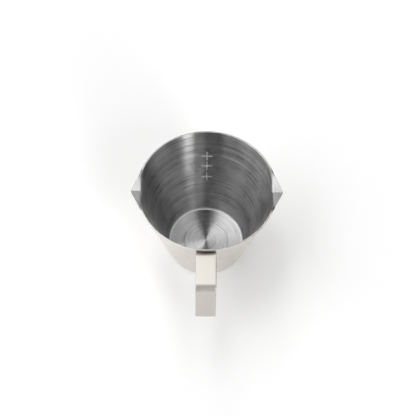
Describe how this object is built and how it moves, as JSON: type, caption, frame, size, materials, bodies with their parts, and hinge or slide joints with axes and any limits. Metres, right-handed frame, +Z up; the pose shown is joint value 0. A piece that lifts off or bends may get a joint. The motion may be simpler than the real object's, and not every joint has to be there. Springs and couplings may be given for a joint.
{
  "type": "pouring pot",
  "caption": "Small tapered pouring and melting pot of stainless sheet, with pointed pouring lips on both sides and an open bent strip handle.",
  "frame": {"origin": "centre of the pot's flat underside, on the axis of its cone", "axes": "+Z up along the pot's axis, lips on +X and -X, handle towards -Y, level marks on the +Y wall"},
  "size_m": [0.0712, 0.0837, 0.0507],
  "materials": {
    "pot_steel": "brushed around inside, satin outside",
    "strip_steel": "fine satin",
    "weld_steel": "fused, dull"
  },
  "bodies": {
    "root": {"pot_body": "pot_steel", "handle_strip": "strip_steel", "weld_nuggets": "weld_steel"}
  },
  "joints": []
}
